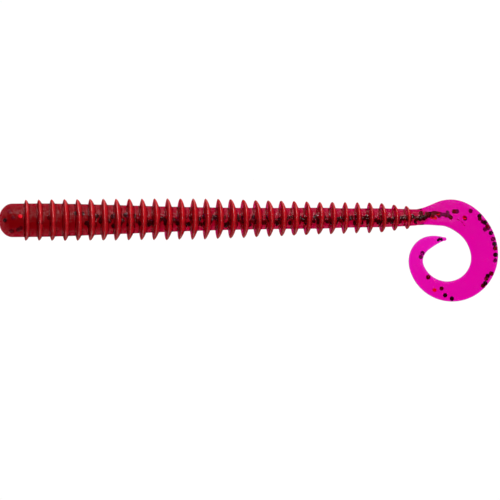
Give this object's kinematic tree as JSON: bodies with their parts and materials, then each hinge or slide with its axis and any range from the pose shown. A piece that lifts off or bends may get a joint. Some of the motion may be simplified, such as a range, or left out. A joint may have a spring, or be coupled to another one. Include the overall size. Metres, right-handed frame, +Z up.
{
  "type": "soft plastic worm",
  "caption": "Soft plastic ribbed finesse worm for fishing: a blunt nose, a tapering body ringed with fins, and a thin flat ribbon tail curled into a hook shape.",
  "frame": {"origin": "middle of the whole worm's footprint, on the surface that it lies on", "axes": "+X from the head to the tail along the body, +Z up; the tail lies flat in the XY plane and curls towards -Y"},
  "size_m": [0.09, 0.0188, 0.0074],
  "materials": {
    "core": "translucent crimson soft plastic, glossy, with dark hexagonal glitter inside",
    "rib": "the same soft plastic in thin fins, which look brick red with bright crests",
    "tail": "the same soft plastic in a thin clear ribbon, hot magenta with light through it"
  },
  "bodies": {
    "head": {"head_core": "core", "rib_01": "rib", "rib_02": "rib", "rib_03": "rib", "rib_04": "rib"},
    "section_1": {"body_core_1": "core", "rib_05": "rib", "rib_06": "rib", "rib_07": "rib"},
    "section_2": {"body_core_2": "core", "rib_08": "rib", "rib_09": "rib", "rib_10": "rib"},
    "section_3": {"body_core_3": "core", "rib_11": "rib", "rib_12": "rib", "rib_13": "rib"},
    "section_4": {"body_core_4": "core", "rib_14": "rib", "rib_15": "rib", "rib_16": "rib"},
    "section_5": {"body_core_5": "core", "rib_17": "rib", "rib_18": "rib", "rib_19": "rib"},
    "section_6": {"body_core_6": "core", "rib_20": "rib", "rib_21": "rib", "rib_22": "rib"},
    "section_7": {"body_core_7": "core", "rib_23": "rib", "rib_24": "rib", "rib_25": "rib"},
    "section_8": {"body_core_8": "core", "rib_26": "rib", "rib_27": "rib", "rib_28": "rib"},
    "section_9": {"body_core_9": "core", "rib_29": "rib", "rib_30": "rib", "rib_31": "rib"},
    "tail_root": {"tail_root": "tail"},
    "tail_1": {"tail_plate_1": "tail"},
    "tail_2": {"tail_plate_2": "tail"},
    "tail_3": {"tail_plate_3": "tail"},
    "tail_4": {"tail_plate_4": "tail"},
    "tail_5": {"tail_plate_5": "tail"},
    "tail_6": {"tail_plate_6": "tail"},
    "tail_7": {"tail_plate_7": "tail"},
    "tail_tip": {"tail_tip": "tail"}
  },
  "joints": [
    {"name": "body_sway_1", "type": "hinge", "parent": "head", "child": "section_1", "pos_m": [-0.03211, 0.00572, 0.00374], "axis": [0, 0, 1], "range_deg": [-18, 18], "stiffness_Nm_per_rad": 0.002354},
    {"name": "body_lift_2", "type": "hinge", "parent": "section_1", "child": "section_2", "pos_m": [-0.02527, 0.00572, 0.00375], "axis": [0, 1, 0], "range_deg": [-18, 18], "stiffness_Nm_per_rad": 0.0019},
    {"name": "body_sway_3", "type": "hinge", "parent": "section_2", "child": "section_3", "pos_m": [-0.01843, 0.00572, 0.00375], "axis": [0, 0, 1], "range_deg": [-18, 18], "stiffness_Nm_per_rad": 0.001514},
    {"name": "body_lift_4", "type": "hinge", "parent": "section_3", "child": "section_4", "pos_m": [-0.01159, 0.00572, 0.00369], "axis": [0, 1, 0], "range_deg": [-18, 18], "stiffness_Nm_per_rad": 0.001191},
    {"name": "body_sway_5", "type": "hinge", "parent": "section_4", "child": "section_5", "pos_m": [-0.00475, 0.00572, 0.0036], "axis": [0, 0, 1], "range_deg": [-18, 18], "stiffness_Nm_per_rad": 0.000922},
    {"name": "body_lift_6", "type": "hinge", "parent": "section_5", "child": "section_6", "pos_m": [0.00208, 0.00572, 0.00334], "axis": [0, 1, 0], "range_deg": [-18, 18], "stiffness_Nm_per_rad": 0.000702},
    {"name": "body_sway_7", "type": "hinge", "parent": "section_6", "child": "section_7", "pos_m": [0.00892, 0.00572, 0.0031], "axis": [0, 0, 1], "range_deg": [-18, 18], "stiffness_Nm_per_rad": 0.000524},
    {"name": "body_lift_8", "type": "hinge", "parent": "section_7", "child": "section_8", "pos_m": [0.01576, 0.00572, 0.00289], "axis": [0, 1, 0], "range_deg": [-18, 18], "stiffness_Nm_per_rad": 0.000382},
    {"name": "body_sway_9", "type": "hinge", "parent": "section_8", "child": "section_9", "pos_m": [0.02259, 0.00572, 0.0027], "axis": [0, 0, 1], "range_deg": [-18, 18], "stiffness_Nm_per_rad": 0.000271},
    {"name": "tail_root_lift", "type": "hinge", "parent": "section_9", "child": "tail_root", "pos_m": [0.03001, 0.00572, 0.00213], "axis": [0, 1, 0], "range_deg": [-20, 20], "stiffness_Nm_per_rad": 0.00025},
    {"name": "tail_flap_1", "type": "hinge", "parent": "tail_root", "child": "tail_1", "pos_m": [0.03486, 0.00645, 0.00173], "axis": [-0.0772, 0.997, 0], "range_deg": [-22, 22], "stiffness_Nm_per_rad": 0.0001},
    {"name": "tail_flap_2", "type": "hinge", "parent": "tail_1", "child": "tail_2", "pos_m": [0.03934, 0.005, 0.00094], "axis": [0.6046, 0.7965, 0], "range_deg": [-22, 22], "stiffness_Nm_per_rad": 0.0001},
    {"name": "tail_flap_3", "type": "hinge", "parent": "tail_2", "child": "tail_3", "pos_m": [0.04212, 0.00116, 0.00046], "axis": [0.9447, 0.328, 0], "range_deg": [-22, 22], "stiffness_Nm_per_rad": 0.0001},
    {"name": "tail_flap_4", "type": "hinge", "parent": "tail_3", "child": "tail_4", "pos_m": [0.04213, -0.00356, 0.00045], "axis": [0.9322, -0.3619, 0], "range_deg": [-22, 22], "stiffness_Nm_per_rad": 0.00006},
    {"name": "tail_flap_5", "type": "hinge", "parent": "tail_4", "child": "tail_5", "pos_m": [0.03892, -0.007, 0.00044], "axis": [0.4277, -0.9039, 0], "range_deg": [-22, 22], "stiffness_Nm_per_rad": 0.00006},
    {"name": "tail_flap_6", "type": "hinge", "parent": "tail_5", "child": "tail_6", "pos_m": [0.03423, -0.00729, 0.00042], "axis": [-0.3113, -0.9503, 0], "range_deg": [-22, 22], "stiffness_Nm_per_rad": 0.00006},
    {"name": "tail_flap_7", "type": "hinge", "parent": "tail_6", "child": "tail_7", "pos_m": [0.03062, -0.00428, 0.00039], "axis": [-0.8796, -0.4757, 0], "range_deg": [-22, 22], "stiffness_Nm_per_rad": 0.00006},
    {"name": "tail_flap_8", "type": "hinge", "parent": "tail_7", "child": "tail_tip", "pos_m": [0.03089, 0.00021, 0.00036], "axis": [-0.7538, 0.6571, 0], "range_deg": [-22, 22], "stiffness_Nm_per_rad": 0.00006}
  ]
}
